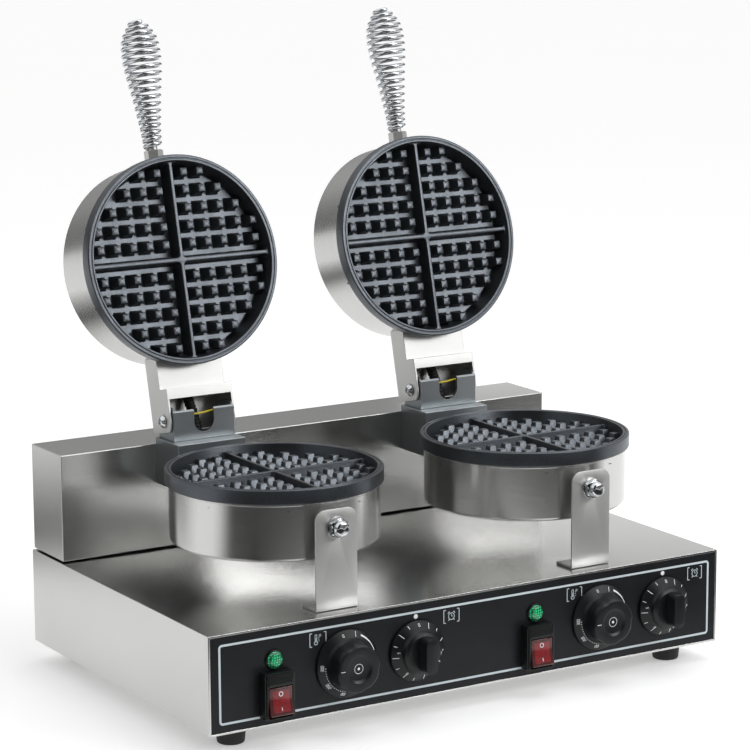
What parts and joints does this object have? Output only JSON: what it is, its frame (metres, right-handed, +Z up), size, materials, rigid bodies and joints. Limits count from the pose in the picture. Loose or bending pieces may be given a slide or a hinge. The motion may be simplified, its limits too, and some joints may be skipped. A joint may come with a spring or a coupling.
{
  "type": "double round waffle baker",
  "caption": "Countertop electric waffle baker with round hinged peg-plate pans side by side on a stainless base, coil-spring handles and a black control panel.",
  "frame": {"origin": "on the worktop, under the middle of the whole machine's bounding box, with both lids open", "axes": "+Z up, -Y towards the user at the control panel, +X to the user's right"},
  "size_m": [0.55, 0.4226, 0.6064],
  "materials": {
    "stainless": "brushed",
    "bright_sheet": "satin",
    "plate_coating": "non-stick coated, satin",
    "chrome": "polished",
    "element_steel": "oxidised",
    "panel_black": "satin print film",
    "knob_black": "moulded satin",
    "body_plastic": "moulded",
    "terminal_white": "moulded",
    "rubber": "matte",
    "rocker_red": "translucent gloss",
    "lamp_green": "faceted translucent",
    "conduit": "ribbed"
  },
  "bodies": {
    "root": {"base_casing": "stainless", "control_panel": "panel_black", "base_floor": "stainless", "back_housing": "stainless", "foot_front_left": "rubber", "foot_front_right": "rubber", "foot_rear_left": "rubber", "foot_rear_right": "rubber", "cable_gland": "body_plastic", "terminal_block": "terminal_white", "front_bracket_left": "bright_sheet", "front_stud_left": "chrome", "lower_shell_left": "stainless", "lower_plate_left": "plate_coating", "lower_element_left": "element_steel", "hinge_box_left": "bright_sheet", "hinge_clevis_left": "bright_sheet", "pivot_bolt_inner_left": "chrome", "pivot_bolt_outer_left": "chrome", "wire_conduit_left": "conduit", "thermostat_left": "body_plastic", "timer_movement_left": "body_plastic", "switch_housing_left": "knob_black", "indicator_lamp_left": "lamp_green", "front_bracket_right": "bright_sheet", "front_stud_right": "chrome", "lower_shell_right": "stainless", "lower_plate_right": "plate_coating", "lower_element_right": "element_steel", "hinge_box_right": "bright_sheet", "hinge_clevis_right": "bright_sheet", "pivot_bolt_inner_right": "chrome", "pivot_bolt_outer_right": "chrome", "wire_conduit_right": "conduit", "thermostat_right": "body_plastic", "timer_movement_right": "body_plastic", "switch_housing_right": "knob_black", "indicator_lamp_right": "lamp_green"},
    "lid_left": {"lid_shell_left": "stainless", "lid_plate_left": "plate_coating", "lid_element_left": "element_steel", "lid_arm_left": "bright_sheet", "handle_stud_left": "chrome", "handle_spring_left": "chrome"},
    "temp_knob_left": {"temp_knob_left": "knob_black", "temp_spindle_left": "element_steel"},
    "timer_knob_left": {"timer_knob_left": "knob_black", "timer_spindle_left": "element_steel"},
    "rocker_left": {"rocker_left": "rocker_red"},
    "lid_right": {"lid_shell_right": "stainless", "lid_plate_right": "plate_coating", "lid_element_right": "element_steel", "lid_arm_right": "bright_sheet", "handle_stud_right": "chrome", "handle_spring_right": "chrome"},
    "temp_knob_right": {"temp_knob_right": "knob_black", "temp_spindle_right": "element_steel"},
    "timer_knob_right": {"timer_knob_right": "knob_black", "timer_spindle_right": "element_steel"},
    "rocker_right": {"rocker_right": "rocker_red"}
  },
  "joints": [
    {"name": "lid_hinge_left", "type": "hinge", "parent": "root", "child": "lid_left", "pos_m": [-0.1375, 0.09115, 0.2355], "axis": [1, 0, 0], "range_deg": [0, 103.45], "deforming": ["wire_conduit_left"]},
    {"name": "temp_turn_left", "type": "hinge", "parent": "root", "child": "temp_knob_left", "pos_m": [-0.1375, -0.19535, 0.063], "axis": [0, 1, 0], "range_deg": [0, 270]},
    {"name": "timer_turn_left", "type": "hinge", "parent": "root", "child": "timer_knob_left", "pos_m": [-0.0645, -0.19535, 0.063], "axis": [0, 1, 0], "range_deg": [0, 300]},
    {"name": "rocker_tilt_left", "type": "hinge", "parent": "root", "child": "rocker_left", "pos_m": [-0.2105, -0.19085, 0.0425], "axis": [1, 0, 0], "range_deg": [0, 18]},
    {"name": "lid_hinge_right", "type": "hinge", "parent": "root", "child": "lid_right", "pos_m": [0.1375, 0.09115, 0.2355], "axis": [1, 0, 0], "range_deg": [0, 103.45], "deforming": ["wire_conduit_right"]},
    {"name": "temp_turn_right", "type": "hinge", "parent": "root", "child": "temp_knob_right", "pos_m": [0.1375, -0.19535, 0.063], "axis": [0, 1, 0], "range_deg": [0, 270]},
    {"name": "timer_turn_right", "type": "hinge", "parent": "root", "child": "timer_knob_right", "pos_m": [0.2105, -0.19535, 0.063], "axis": [0, 1, 0], "range_deg": [0, 300]},
    {"name": "rocker_tilt_right", "type": "hinge", "parent": "root", "child": "rocker_right", "pos_m": [0.0645, -0.19085, 0.0425], "axis": [1, 0, 0], "range_deg": [0, 18]}
  ]
}
